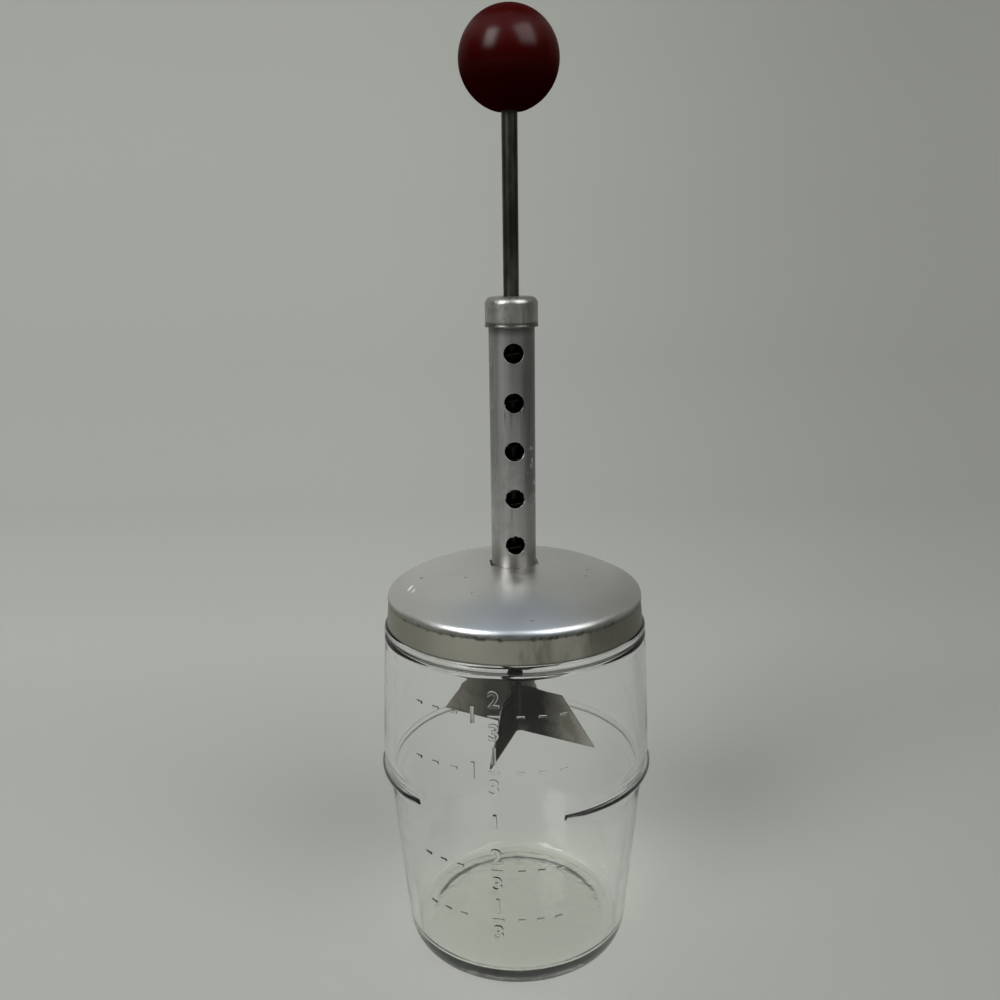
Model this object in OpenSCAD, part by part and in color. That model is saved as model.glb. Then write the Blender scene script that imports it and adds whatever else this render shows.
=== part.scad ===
// Spring plunger nut chopper. A glass jar with a slip lid carries a tube, and a rod with a ball knob
// runs through the tube and drives two bent blades down into the jar.
// Millimetres. The jar stands on z = 0 with its axis on Z, and its front faces -Y.

/* [Jar] */
// Outer radius of the flat ring that the jar stands on
base_r = 34.3; // [30:0.1:36]
// Width of that ring
base_ring_w = 4; // [2:0.5:6]
// Height that the middle of the bottom is pushed up
push_up = 0.8; // [0.5:0.1:2.5]
// Height of the rounded heel
heel_h = 9; // [5:0.5:14]
// Outer radius at the top of the heel
heel_r = 37.4; // [36.5:0.1:39]
// Outer radius at the foot of the slope under the measuring ring
waist_r = 41.65; // [40:0.05:43]
// Height of the measuring ring
ring_z = 61.5; // [50:0.5:70]
// Radius of the measuring ring's round section
ring_bead_r = 0.95; // [0.6:0.05:1.4]
// How far the measuring ring stands out from the wall
ring_proud = 1.65; // [1:0.05:2]
// Direction of the middle of the break in the measuring ring, from the front towards the right
ring_break_turn = -12; // [-60:1:60]
// Angle of the break in the measuring ring
ring_break = 62; // [20:1:120]
// Outer radius at the head of that slope
barrel_r = 43.67; // [43:0.05:46]
// Height of the slope from the waist to the barrel
waist_slope_h = 12; // [4:0.5:14]
// Height of the barrel's top
shoulder_z = 105.8; // [98:0.1:106.4]
// How far the barrel's top stands out from the groove under the bead
shoulder_out = 1.2; // [0.8:0.1:2]
// How far that groove stands out from the neck
groove_out = 1.3; // [0.6:0.1:1.8]
// Height of the bead that the lid sits on
bead_z = 108.4; // [107.5:0.1:110]
// Radius of that bead's round section
neck_bead_r = 1.3; // [1:0.1:1.6]
// How far that bead stands out from the neck
neck_bead_proud = 2.4; // [2:0.1:2.6]
// Outer radius of the neck inside the lid
neck_r = 39.5; // [38:0.1:40]
// Thickness of the glass wall
glass_wall = 3; // [2:0.1:4]
// Thickness of the glass floor
glass_floor = 4.2; // [3:0.1:9]
// Radius of the round corner between wall and floor inside
floor_corner = 3; // [2:0.5:10]

/* [Lid] */
// Gap between the neck and the lid's skirt
lid_gap = 0.3; // [0.2:0.05:0.4]
// Distance from the jar's rim up to the lid's crease
rim_gap = 0.5; // [0:0.1:2]
// Thickness of the lid's sheet
lid_wall = 0.7; // [0.5:0.05:0.8]
// Height of the skirt
skirt_h = 8.3; // [8:0.1:10]
// How much wider the skirt is at its lower edge
skirt_flare = 0.5; // [0:0.1:1]
// Depth of the crease under the shoulder
crease = 0.2; // [0.1:0.05:0.3]
// Radius of the rounded shoulder
lid_shoulder = 2.6; // [1.5:0.1:3]
// Height of the dome above the skirt
dome_h = 9.9; // [9:0.1:13]
// Radius of the flat crown
crown_r = 12; // [11:0.5:16]

/* [Tube] */
// Outside diameter of the tube
tube_od = 14; // [13:0.1:16]
// Wall of the tube
tube_wall = 0.8; // [0.6:0.05:1]
// Height of the tube above the lid
tube_h = 82.2; // [78:0.1:90]
// Direction of the row of holes, from the front towards the right
tube_turn = 5; // [-15:1:15]
// Number of holes
hole_count = 5; // [3:1:5]
// Diameter of a hole
hole_d = 5.9; // [4:0.1:6.5]
// Distance from hole to hole
hole_pitch = 14.8; // [12:0.1:15.4]
// Height of the lowest hole above the lid
first_hole = 7.5; // [5:0.5:9]
// Width of each tab at the tube's foot
tab_w = 6.2; // [3:0.1:7]
// Length of each tab under the lid
tab_l = 3.2; // [2:0.1:3.8]
// Room in a lid slot outside the tube
slot_room = 0.6; // [0.4:0.1:1.8]
// Room in a lid slot at each side of the tab
slot_side = 0.4; // [0.2:0.1:0.8]

/* [Cap] */
// Wall of the cap's side
cap_wall = 0.95; // [0.7:0.05:1.4]
// Thickness of the cap's top
cap_top = 1; // [0.8:0.1:1.5]
// Height of the cap
cap_h = 9; // [7:0.5:12]
// Radius of the cap's rounded top edge
cap_round = 2.2; // [1:0.1:2.6]

/* [Plunger] */
// Diameter of the rod
rod_d = 4.7; // [4:0.1:5.2]
// Length of rod that shows between cap and knob
rod_show = 52; // [40:0.5:56]
// Chamfer of the rod's ends
rod_chamfer = 0.5; // [0.2:0.1:0.8]
// Diameter of the knob
knob_d = 28.9; // [26:0.1:34]
// Depth of the small flat under the knob
knob_flat = 0.6; // [0.4:0.1:1.2]
// Depth of the rod's hole in the knob
knob_hole = 18; // [12:0.5:22]
// Diameter of the cross pin
pin_d = 1.6; // [1.2:0.1:2]
// Length of the cross pin
pin_l = 9; // [8:0.5:10]
// Thickness of the spring washer
washer_t = 1; // [0.8:0.1:1.5]

/* [Spring] */
// Diameter of the spring's wire
wire_d = 1.2; // [0.9:0.1:1.3]
// Gap between the spring and the tube
spring_gap = 0.9; // [0.5:0.1:1.1]
// Number of turns
spring_turns = 18; // [14:1:22]
// Rise of the first and of the last turn
end_pitch = 1.8; // [1.8:0.1:2.4]

/* [Blades] */
// Thickness of the blade sheet
blade_t = 0.6; // [0.6:0.1:1.2]
// Height of a blade
blade_h = 15.5; // [12:0.5:18]
// Reach of a wing at its lower edge
wing_low = 29.2; // [26:0.1:32]
// Reach of a wing at its upper edge
wing_high = 20; // [16:0.1:24]
// Angle between the two wings of one blade
wing_angle = 79; // [60:1:90]
// Radius of the bend between the two wings, at the middle of the sheet
blade_bend = 1.5; // [1:0.1:3]
// Direction of the front blade's middle, from the front towards the right
blade_turn = 22; // [0:1:45]
// Distance from the lid's crown down to the cutting edges
blade_drop = 56.9; // [50:0.1:62]
// Height of the ground bevel
edge_h = 1.6; // [0.8:0.1:2.5]
// Thickness left at the cutting edge
edge_t = 0.3; // [0.2:0.05:0.5]

/* [Fits] */
// Running gap round the rod
run_gap = 0.08; // [0.02:0.01:0.1]
// Gap between pieces that are fixed together
fix_gap = 0.03; // [0.02:0.01:0.05]
// Gap under pieces that rest on one another
seat_gap = 0.2; // [0.1:0.05:0.3]
// Gap between the washer and the tube
washer_gap = 0.3; // [0.2:0.05:0.5]

/* [Hidden] */

$fn = 96;
eps = 0.01;
arc_step = 9;

// Heights, from the jar upwards
skirt_z = bead_z + neck_bead_r + seat_gap;
crease_z = skirt_z + skirt_h;
rim_z = crease_z - rim_gap;
crown_z = crease_z + dome_h;
tube_top_z = crown_z + tube_h;
cap_under_z = tube_top_z + fix_gap;
cap_top_z = cap_under_z + cap_top;
knob_low_z = cap_top_z + rod_show;
knob_z = knob_low_z - knob_flat + knob_d / 2;
rod_top_z = knob_low_z + knob_hole - fix_gap;
pin_z = cap_under_z - seat_gap - pin_d / 2;
washer_top_z = pin_z - pin_d / 2 - seat_gap;
washer_low_z = washer_top_z - washer_t;
edge_z = crown_z - blade_drop;
blade_top_z = edge_z + blade_h;

// Radii that follow from the fits
rod_r = rod_d / 2;
run_r = rod_r + run_gap;
tube_r = tube_od / 2;
tube_ir = tube_r - tube_wall;
cap_ir = tube_r + fix_gap;
cap_r = cap_ir + cap_wall;
skirt_r = neck_r + lid_gap + lid_wall;
mouth_r = neck_r - glass_wall;
groove_r = neck_r + groove_out;
shoulder_r = groove_r + shoulder_out;
spring_r = tube_ir - spring_gap - wire_d / 2;

// Points on an arc about [x, z], from angle a to angle b
function arc(x, z, r, a, b) =
    let (n = max(2, ceil(abs(b - a) / arc_step)))
    [for (i = [0:n]) let (t = a + (b - a) * i / n) [x + r * cos(t), z + r * sin(t)]];

// A list from its end to its start
function backwards(list) = [for (i = [len(list) - 1:-1:0]) list[i]];

// Outer wall of the jar from the middle of the bottom to the neck
function jar_outside() =
    let (ring_in = base_r - base_ring_w)
    concat(
        [[0, push_up], [ring_in - 2 * push_up, push_up], [ring_in, 0]],
        [for (a = [0:arc_step:90]) [base_r + (heel_r - base_r) * sin(a), heel_h * (1 - cos(a))]],
        [[waist_r, ring_z - waist_slope_h / 2], [barrel_r, ring_z + waist_slope_h / 2]],
        arc(groove_r, shoulder_z, shoulder_out, 0, 90),
        [[groove_r, bead_z], [neck_r, bead_z]]
    );

// Inner wall of the jar from the neck to the middle of the floor
function jar_inside() =
    let (low_r = heel_r - glass_wall, corner = min(floor_corner, low_r / 2))
    concat(
        [[mouth_r, bead_z], [shoulder_r - glass_wall, shoulder_z]],
        [[barrel_r - glass_wall, ring_z + waist_slope_h / 2]],
        [[waist_r - glass_wall, ring_z - waist_slope_h / 2]],
        arc(low_r - corner, glass_floor + corner, corner, 0, -90),
        [[0, glass_floor]]
    );

// Lid surface from the middle of the crown to the skirt's lower edge, set in by a wall
function lid_surface(wall) =
    let (
        run = skirt_r - lid_shoulder - crown_r,
        dome_r = (dome_h * dome_h + run * run - lid_shoulder * lid_shoulder) / (2 * (dome_h - lid_shoulder)),
        meet = acos(run / (dome_r - lid_shoulder))
    )
    concat(
        [[0, crown_z - wall]],
        arc(crown_r, crown_z - dome_r, dome_r - wall, 90, meet),
        arc(skirt_r - lid_shoulder, crease_z, lid_shoulder - wall, meet, 0),
        [[skirt_r - crease - wall, crease_z - 2 * crease]],
        [[skirt_r - wall + skirt_flare, skirt_z]]
    );

// Glass jar with the broken measuring ring round its middle
module glass_jar() {
    lip = glass_wall / 2;
    ring_foot = (waist_r + barrel_r) / 2;
    ring_x = ring_foot + ring_proud - ring_bead_r;
    color("gainsboro", 0.4) {
        rotate_extrude()
            polygon(concat(
                jar_outside(),
                arc(neck_r - lip, rim_z - lip, lip, 0, 180),
                jar_inside()
            ));
        rotate_extrude()
            translate([neck_r + neck_bead_proud - neck_bead_r, bead_z])
                circle(neck_bead_r);
        rotate(ring_break_turn + ring_break / 2 - 90)
            rotate_extrude(angle = 360 - ring_break) {
                translate([ring_x, ring_z])
                    circle(ring_bead_r);
                translate([ring_foot - ring_bead_r, ring_z - ring_bead_r])
                    square([ring_proud, 2 * ring_bead_r]);
            }
    }
}

// Spun lid with the rod's hole and two slots for the tube's tabs
module lid() {
    slot_in = sqrt(tube_ir * tube_ir - tab_w * tab_w / 4) - slot_side;
    slot_l = tube_r + slot_room - slot_in;
    color("darkgray")
        difference() {
            rotate_extrude()
                polygon(concat(lid_surface(0), backwards(lid_surface(lid_wall))));
            translate([0, 0, crown_z - 2 * lid_wall])
                cylinder(h = 3 * lid_wall, r = run_r);
            for (side = [0, 180])
                rotate(side + tube_turn)
                    translate([slot_in, -tab_w / 2 - slot_side, crown_z - 2 * lid_wall])
                        cube([slot_l, tab_w + 2 * slot_side, 3 * lid_wall]);
        }
}

// Tube with its row of holes, held by two tabs bent outwards under the lid
module guide_tube() {
    fold_z = crown_z - lid_wall - fix_gap - tube_wall;
    color("silver")
        rotate(tube_turn)
            difference() {
                union() {
                    translate([0, 0, crown_z])
                        tube_wall_ring(tube_h);
                    for (side = [0, 180])
                        rotate(side) {
                            intersection() {
                                translate([0, 0, fold_z])
                                    tube_wall_ring(crown_z - fold_z + eps);
                                translate([0, -tab_w / 2, fold_z])
                                    cube([tube_od, tab_w, tube_h]);
                            }
                            difference() {
                                translate([0, -tab_w / 2, fold_z])
                                    cube([tube_r + tab_l, tab_w, tube_wall]);
                                translate([0, 0, fold_z - eps])
                                    cylinder(h = tube_wall + 2 * eps, r = tube_ir);
                            }
                        }
                }
                for (i = [0:hole_count - 1])
                    translate([0, 0, crown_z + first_hole + i * hole_pitch])
                        rotate([90, 0, 0])
                            cylinder(h = tube_od, d = hole_d);
            }
}

// Plain length of the tube's wall
module tube_wall_ring(h) {
    difference() {
        cylinder(h = h, r = tube_r);
        translate([0, 0, -eps])
            cylinder(h = h + 2 * eps, r = tube_ir);
    }
}

// Drawn cap over the top of the tube, which guides the rod
module tube_cap() {
    low_z = cap_top_z - cap_h;
    color("silver")
        rotate_extrude()
            polygon(concat(
                [[cap_ir, low_z], [cap_r, low_z]],
                arc(cap_r - cap_round, cap_top_z - cap_round, cap_round, 0, 90),
                [[run_r, cap_top_z], [run_r, cap_under_z], [cap_ir, cap_under_z]]
            ));
}

// Rod from the cutting edges to the knob, cross drilled for the stop pin
module plunger_rod() {
    low_z = edge_z + edge_h;
    color("dimgray")
        difference() {
            rotate_extrude()
                polygon([
                    [0, low_z],
                    [rod_r - rod_chamfer, low_z],
                    [rod_r, low_z + rod_chamfer],
                    [rod_r, rod_top_z - rod_chamfer],
                    [rod_r - rod_chamfer, rod_top_z],
                    [0, rod_top_z]
                ]);
            translate([0, 0, pin_z])
                rotate([0, 90, 0])
                    cylinder(h = 2 * rod_d, d = pin_d + 2 * fix_gap, center = true);
        }
}

// Ball knob with a small flat round the rod
module knob() {
    color("maroon")
        difference() {
            translate([0, 0, knob_z])
                sphere(d = knob_d);
            translate([-knob_d, -knob_d, knob_low_z - knob_d])
                cube([2 * knob_d, 2 * knob_d, knob_d]);
            translate([0, 0, knob_low_z - eps])
                cylinder(h = knob_hole + eps, r = rod_r + fix_gap);
        }
}

// Washer that the spring lifts against the pin
module spring_washer() {
    color("gray")
        translate([0, 0, washer_low_z])
            difference() {
                cylinder(h = washer_t, r = tube_ir - washer_gap);
                translate([0, 0, -eps])
                    cylinder(h = washer_t + 2 * eps, r = run_r);
            }
}

// Cross pin that takes the spring's lift and stops under the cap
module stop_pin() {
    color("gray")
        translate([0, 0, pin_z])
            rotate([0, 90, 0])
                cylinder(h = pin_l, d = pin_d, center = true);
}

// Spring wire centre line: close end turns, open turns between them, and a straight tail at each end
rings_per_turn = 8;
wire_sides = 6;
wire_low_z = crown_z + seat_gap + wire_d / 2;
wire_rise = washer_low_z - seat_gap - wire_d / 2 - wire_low_z;
open_pitch = (wire_rise - 2 * end_pitch) / (spring_turns - 2);
function wire_z(t) =
    wire_low_z + end_pitch * min(t, 1) + open_pitch * min(max(t - 1, 0), spring_turns - 2)
    + end_pitch * max(t - spring_turns + 1, 0);
function wire_point(t) = [spring_r * cos(360 * t), spring_r * sin(360 * t), wire_z(t)];
function wire_way(t) = [-sin(360 * t), cos(360 * t), 0];
wire_turns = [for (i = [0:spring_turns * rings_per_turn]) i / rings_per_turn];
wire_line = concat(
    [wire_point(0) - wire_d * wire_way(0)],
    [for (t = wire_turns) wire_point(t)],
    [wire_point(spring_turns) + wire_d * wire_way(spring_turns)]
);
wire_angle = concat([0], [for (t = wire_turns) 360 * t], [360 * spring_turns]);
wire_gap = min([
    for (i = [0:len(wire_line) - 1])
        for (j = [i + rings_per_turn - 2:1:min(i + rings_per_turn + 2, len(wire_line) - 1)])
            norm(wire_line[i] - wire_line[j]) - wire_d
]);
echo(least_gap_between_turns = wire_gap);

// Return spring as one unbroken tube of wire
module return_spring() {
    last = len(wire_line) - 1;
    points = [
        for (i = [0:last])
            for (k = [0:wire_sides - 1])
                let (
                    out = [cos(wire_angle[i]), sin(wire_angle[i]), 0],
                    turn = 360 * k / wire_sides
                )
                wire_line[i] + wire_d / 2 * (cos(turn) * out + sin(turn) * [0, 0, 1])
    ];
    sides = [
        for (i = [0:last - 1])
            for (k = [0:wire_sides - 1])
                let (
                    a = i * wire_sides + k,
                    b = i * wire_sides + (k + 1) % wire_sides
                )
                each [[a, b, a + wire_sides], [b, b + wire_sides, a + wire_sides]]
    ];
    ends = [
        for (k = [1:wire_sides - 2])
            each [[0, k + 1, k], [last * wire_sides, last * wire_sides + k, last * wire_sides + k + 1]]
    ];
    color("lightsteelblue")
        polyhedron(points, concat(sides, ends));
}

// One blade: a strip bent to a V round the rod, with slanted ends and a ground lower edge
module blade(turn) {
    half = wing_angle / 2;
    half_t = blade_t / 2;
    bend_x = rod_r + fix_gap + half_t + blade_bend;
    wing_off = blade_bend - bend_x * sin(half);
    function tip(off, side) = [
        wing_low * cos(half) - (wing_off + off) * sin(half),
        side * (wing_low * sin(half) + (wing_off + off) * cos(half))
    ];
    rotate(turn - 90)
        translate([0, 0, edge_z])
            difference() {
                linear_extrude(blade_h)
                    polygon(concat(
                        [tip(half_t, -1)],
                        arc(bend_x, 0, blade_bend + half_t, 270 - half, 90 + half),
                        [tip(half_t, 1), tip(-half_t, 1)],
                        arc(bend_x, 0, blade_bend - half_t, 90 + half, 270 - half),
                        [tip(-half_t, -1)]
                    ));
                for (side = [-1, 1])
                    rotate(side * half)
                        translate([0, side * wing_off, 0]) {
                            end_cut();
                            for (face = [0, 1])
                                mirror([0, face, 0])
                                    bevel_cut(bend_x);
                        }
            }
}

// Wedge that slants the end of a wing
module end_cut() {
    translate([0, blade_t, 0])
        rotate([90, 0, 0])
            linear_extrude(2 * blade_t)
                polygon([
                    [wing_low, -eps],
                    [wing_low + blade_h, -eps],
                    [wing_low + blade_h, blade_h + eps],
                    [wing_high, blade_h + eps]
                ]);
}

// Wedge that grinds one side of a wing's lower edge
module bevel_cut(start) {
    translate([start, 0, 0])
        rotate([90, 0, 90])
            linear_extrude(wing_low)
                polygon([[edge_t / 2, -eps], [blade_t, -eps], [blade_t, edge_h], [blade_t / 2, edge_h]]);
}

module front_blade() {
    color("slategray")
        blade(blade_turn);
}

module rear_blade() {
    color("slategray")
        blade(blade_turn + 180);
}

glass_jar();
lid();
guide_tube();
tube_cap();
plunger_rod();
knob();
return_spring();
spring_washer();
stop_pin();
front_blade();
rear_blade();
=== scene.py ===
# Looks of the spring plunger nut chopper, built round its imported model.
# Sizes are written in millimetres and go into the meshes in metres.
import math

import bmesh
import bpy
from mathutils import Matrix


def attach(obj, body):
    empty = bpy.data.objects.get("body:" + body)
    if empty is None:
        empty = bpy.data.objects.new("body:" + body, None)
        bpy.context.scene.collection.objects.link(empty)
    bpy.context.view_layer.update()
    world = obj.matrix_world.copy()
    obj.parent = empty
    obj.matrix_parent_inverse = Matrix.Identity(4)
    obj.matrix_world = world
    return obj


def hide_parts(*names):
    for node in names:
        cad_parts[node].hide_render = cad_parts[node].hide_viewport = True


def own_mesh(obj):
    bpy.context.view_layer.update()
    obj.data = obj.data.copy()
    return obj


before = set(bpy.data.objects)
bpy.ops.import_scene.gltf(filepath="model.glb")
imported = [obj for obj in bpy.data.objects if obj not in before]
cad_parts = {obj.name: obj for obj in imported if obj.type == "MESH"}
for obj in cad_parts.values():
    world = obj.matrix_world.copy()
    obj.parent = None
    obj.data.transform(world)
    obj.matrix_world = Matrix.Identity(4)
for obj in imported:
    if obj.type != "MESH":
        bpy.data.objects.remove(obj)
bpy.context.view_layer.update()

MM = 0.001
MERGE = 1e-6

# Heights and radii that several pieces share, in millimetres
RING_Z = 61.5
SKIRT_Z = 109.9
CREASE_Z = 118.2
DOME_H = 9.9
CROWN_Z = CREASE_Z + DOME_H
TUBE_TOP_Z = 210.3
CAP_TOP_Z = 211.33
KNOB_LOW_Z = 263.33
PIN_Z = 209.33
EDGE_Z = 71.2
ROD_R = 2.35
RUN_R = 2.43
TUBE_R = 7.0
TUBE_IR = 6.2
TUBE_TURN = 5
LID_WALL = 0.7
# Play between pieces that sit on each other
FIT = 0.03

# Jar: its heel's inner radius, width and height, where its wall changes slope as (radius, height),
# then its thickness and foot
HEEL_R = 34.3
HEEL_WIDE = 3.1
HEEL_TALL = 9
HEEL_TOP = (37.29, 6.67)
SLOPE_LOW = (41.65, 55.5)
SLOPE_HIGH = (43.67, 67.5)
BARREL_TOP = (42.0, 105.6)
GLASS_WALL = 3.0
GLASS_FLOOR = 4.2
FLOOR_CORNER = 3.0
PUSH_UP = 0.8
JAR_STEPS = 240

# Ring round the jar: half its height, its radius by height, its break at the front and its tapered
# ends in degrees, its rounding, and a radius that only the jar's outside reaches at the ring
RING_HALF = 0.95
RING_ROWS = {RING_Z - RING_HALF: 43.9, RING_Z: 44.3, RING_Z + RING_HALF: 44.25}
BREAK_MIDDLE = -12
BREAK_HALF = 31
RING_TAPER = 9
RING_ROUND = 0.62
OUTSIDE_R = 41.5


def select_only(piece):
    """Make one object the only selected one, and the active one."""
    bpy.ops.object.select_all(action="DESELECT")
    piece.select_set(True)
    bpy.context.view_layer.objects.active = piece


def start(primitive, **sizes):
    """Add a primitive at the origin and stay in edit mode."""
    bpy.ops.object.select_all(action="DESELECT")
    primitive(enter_editmode=True, location=(0, 0, 0), **sizes)
    bpy.ops.mesh.select_mode(type="VERT")
    bpy.ops.mesh.select_all(action="SELECT")


def leave(name):
    """Leave edit mode and name the piece."""
    bpy.ops.object.mode_set(mode="OBJECT")
    piece = bpy.context.object
    piece.name = name
    piece.data.name = name
    return piece


def enter(piece):
    """Open a finished piece for editing."""
    select_only(piece)
    bpy.ops.object.mode_set(mode="EDIT")


def pick(kind, test):
    """Select the vertices, edges or faces of the open mesh that pass a test."""
    bpy.ops.mesh.select_all(action="DESELECT")
    bpy.ops.mesh.select_mode(type=kind)
    mesh = bmesh.from_edit_mesh(bpy.context.object.data)
    parts = {"VERT": mesh.verts, "EDGE": mesh.edges, "FACE": mesh.faces}[kind]
    for part in parts:
        if test(part):
            part.select_set(True)
    mesh.select_flush_mode()
    bmesh.update_edit_mesh(bpy.context.object.data)


def tidy_mesh():
    """Merge doubles and turn all faces of the open mesh outwards."""
    bpy.ops.mesh.select_all(action="SELECT")
    bpy.ops.mesh.remove_doubles(threshold=MERGE)
    bpy.ops.mesh.normals_make_consistent(inside=False)


def finish_with(piece, kind, **settings):
    """Add one modifier and apply it."""
    select_only(piece)
    modifier = piece.modifiers.new(kind.lower(), kind)
    for name, value in settings.items():
        setattr(modifier, name, value)
    bpy.ops.object.modifier_apply(modifier=modifier.name)


def combine(piece, other, operation):
    """Join another solid to a piece, or cut it out, and delete the other."""
    finish_with(piece, "BOOLEAN", operation=operation, solver="EXACT", object=other)
    select_only(other)
    bpy.ops.object.delete()


def smooth(piece, angle=32):
    """Shade a piece smooth apart from its sharp edges."""
    select_only(piece)
    bpy.ops.object.shade_smooth_by_angle(angle=math.radians(angle))


def arc(x, z, r, a, b, steps):
    """Points on an arc about (x, z), from angle a to angle b in degrees."""
    turn = [math.radians(a + (b - a) * i / steps) for i in range(steps + 1)]
    return [(x + r * math.cos(t), z + r * math.sin(t)) for t in turn]


def spaced(low, high, steps):
    """Evenly spaced numbers from low to high."""
    return [low + (high - low) * i / steps for i in range(steps + 1)]


def through(points, steps):
    """Points on a smooth curve through the given points."""
    ends = [points[0]] + points + [points[-1]]
    curve = []
    for a, b, c, d in zip(ends, ends[1:], ends[2:], ends[3:]):
        for i in range(steps):
            s = i / steps
            curve.append(tuple(
                0.5 * (2 * q + (r - p) * s + (2 * p - 5 * q + 4 * r - t) * s * s
                       + (3 * q - p - 3 * r + t) * s ** 3)
                for p, q, r, t in zip(a, b, c, d)))
    return curve + [points[-1]]


def draw_line(points):
    """Draw a line of points in the XZ plane from a plane merged to one point."""
    start(bpy.ops.mesh.primitive_plane_add, size=MM)
    bpy.ops.mesh.merge(type="CENTER")
    x, z = points[0]
    bpy.ops.transform.translate(value=(x * MM, 0, z * MM))
    for (x0, z0), (x1, z1) in zip(points, points[1:]):
        step = ((x1 - x0) * MM, 0, (z1 - z0) * MM)
        bpy.ops.mesh.extrude_vertices_move(TRANSFORM_OT_translate={"value": step})


def turn_piece(angle):
    """Turn the selection of the open mesh round the axis, anticlockwise seen from above."""
    bpy.ops.transform.rotate(value=math.radians(-angle), orient_axis="Z", center_override=(0, 0, 0))


def turn_on_lathe(name, points, steps=128):
    """Spin an outline of (radius, height) points round the axis."""
    draw_line(points)
    bpy.ops.mesh.select_all(action="SELECT")
    bpy.ops.mesh.spin(steps=steps, angle=2 * math.pi, center=(0, 0, 0), axis=(0, 0, 1))
    tidy_mesh()
    return leave(name)


class Signal:
    """One socket of a finish. Sums with it add Math nodes to the same finish."""

    def __init__(self, finish, socket):
        self.finish = finish
        self.socket = socket

    def reckon(self, operation, first, second):
        """Result of one sum on two signals or numbers."""
        return self.finish.node("ShaderNodeMath", {"operation": operation}, {0: first, 1: second})

    def __add__(self, other):
        return self.reckon("ADD", self, other)

    __radd__ = __add__

    def __sub__(self, other):
        return self.reckon("SUBTRACT", self, other)

    def __rsub__(self, other):
        return self.reckon("SUBTRACT", other, self)

    def __mul__(self, other):
        return self.reckon("MULTIPLY", self, other)

    def __truediv__(self, other):
        return self.reckon("DIVIDE", self, other)

    def __pow__(self, other):
        return self.reckon("POWER", self, other)


class Finish:
    """A material, or the room's light, that is put together node by node."""

    def __init__(self, name, kind=bpy.data.materials):
        self.owner = kind.new(name)
        self.owner.use_nodes = True
        self.tree = self.owner.node_tree
        self.tree.nodes.clear()

    def node(self, kind, settings, inputs, output=0):
        """Add a node, set it up, fill or link its inputs and give back one output."""
        made = self.tree.nodes.new(kind)
        for name, value in settings.items():
            if name == "stops":
                ramp = made.color_ramp
                ramp.elements.remove(ramp.elements[1])
                ramp.elements[0].position = value[0][0]
                ramp.elements[0].color = value[0][1]
                for place, colour in value[1:]:
                    ramp.elements.new(place).color = colour
            else:
                setattr(made, name, value)
        for key, value in inputs.items():
            if isinstance(value, Signal):
                self.tree.links.new(value.socket, made.inputs[key])
            else:
                made.inputs[key].default_value = value
        return Signal(self, made.outputs[output]) if made.outputs else made

    def place(self):
        """Place on the piece in its own coordinates, in metres."""
        return self.node("ShaderNodeTexCoord", {}, {}, "Object")

    def parts_of(self, vector):
        """The x, y and z of a vector."""
        split = self.node("ShaderNodeSeparateXYZ", {}, {"Vector": vector})
        return [Signal(self, socket) for socket in split.socket.node.outputs]

    def scaled(self, vector, scale):
        """A vector stretched by a scale for each direction."""
        return self.node("ShaderNodeMapping", {}, {"Vector": vector, "Scale": scale})

    def noise(self, vector, scale, detail=4.0, rough=0.55):
        """Soft random pattern between 0 and 1."""
        return self.node("ShaderNodeTexNoise", {},
                         {"Vector": vector, "Scale": scale, "Detail": detail, "Roughness": rough})

    def between(self, value, low, high):
        """Share of the way from low to high, held between 0 and 1 and eased."""
        return self.node("ShaderNodeMapRange", {"interpolation_type": "SMOOTHSTEP"},
                         {"Value": value, "From Min": low, "From Max": high})

    def evenly(self, value, low, high):
        """Share of the way from low to high, held between 0 and 1 and not eased."""
        return self.node("ShaderNodeMapRange", {}, {"Value": value, "From Min": low, "From Max": high})

    def blend(self, factor, first, second):
        """Colour between two colours."""
        return self.node("ShaderNodeMix", {"data_type": "RGBA"},
                         {0: factor, 6: first, 7: second}, 2)

    def bump(self, height, strength, depth):
        """Normal of a surface with small heights."""
        return self.node("ShaderNodeBump", {},
                         {"Height": height, "Strength": strength, "Distance": depth})

    def surface(self, **sockets):
        """Principled surface, with underscores for the spaces in its sockets' names."""
        names = {key.replace("_", " "): value for key, value in sockets.items()}
        return self.node("ShaderNodeBsdfPrincipled", {}, names)

    def ramp(self, value, *stops):
        """Colour by value, from stops of (value, colour)."""
        return self.node("ShaderNodeValToRGB", {"stops": stops}, {"Fac": value})

    def size_of(self, value):
        """Value without its sign."""
        return self.node("ShaderNodeMath", {"operation": "ABSOLUTE"}, {0: value})

    def show(self, shader, volume=None):
        """Send the shader to the output and give back the material."""
        made = self.node("ShaderNodeOutputMaterial", {}, {"Surface": shader})
        if volume is not None:
            self.tree.links.new(volume.socket, made.inputs["Volume"])
        return self.owner


def standing_out(f, radius, z):
    """How far a spot on the glass stands out from the jar's plain wall."""
    slope = f.evenly(z, HEEL_TOP[1] * MM, SLOPE_LOW[1] * MM) * ((SLOPE_LOW[0] - HEEL_TOP[0]) * MM)
    swell = f.between(z, SLOPE_LOW[1] * MM, SLOPE_HIGH[1] * MM) * ((SLOPE_HIGH[0] - SLOPE_LOW[0]) * MM)
    narrow = f.evenly(z, SLOPE_HIGH[1] * MM, BARREL_TOP[1] * MM) * ((BARREL_TOP[0] - SLOPE_HIGH[0]) * MM)
    return radius - (slope + swell + narrow + HEEL_TOP[0] * MM)


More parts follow.
